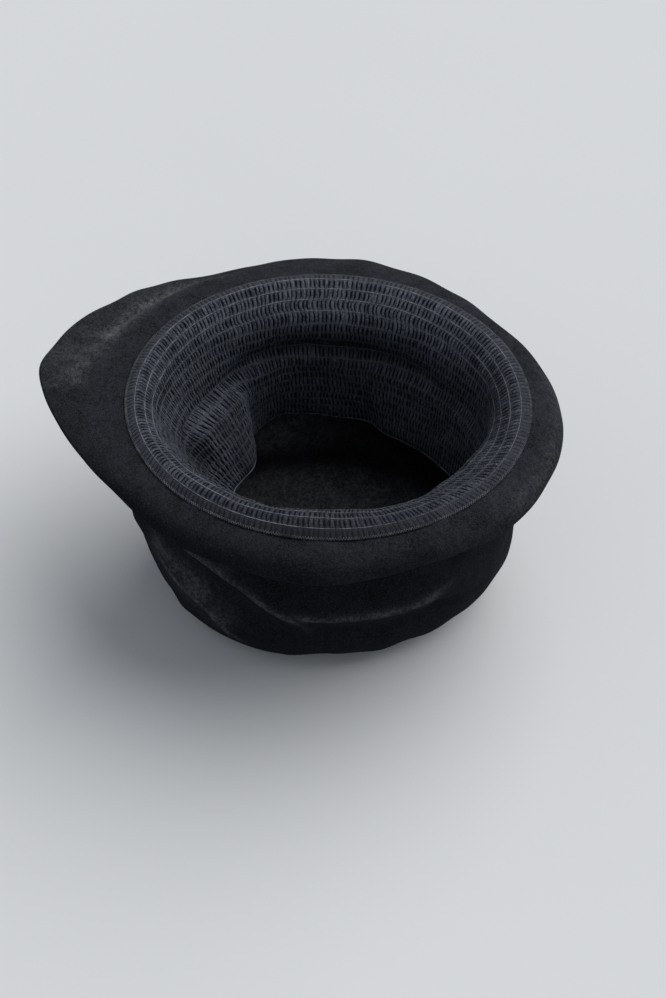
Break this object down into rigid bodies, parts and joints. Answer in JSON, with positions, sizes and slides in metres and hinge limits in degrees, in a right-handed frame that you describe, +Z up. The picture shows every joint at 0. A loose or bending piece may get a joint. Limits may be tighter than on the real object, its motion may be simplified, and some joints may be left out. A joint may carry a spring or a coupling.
{
  "type": "cloche hat",
  "caption": "Soft felt cloche hat with a pointed peak, lying crown down, its mouth lined with a shirred cloth band.",
  "frame": {"origin": "middle of the flattened tip of the crown, where the hat rests", "axes": "+Z up, out of the hat's mouth; the peak, which is the hat's front, points to -X and the back of the hat to +X"},
  "size_m": [0.2994, 0.2484, 0.1529],
  "materials": {
    "black_felt": "soft napped fur felt",
    "band_cloth": "shirred matt cotton"
  },
  "bodies": {
    "root": {"felt_body": "black_felt", "shirred_band": "band_cloth"}
  },
  "joints": []
}
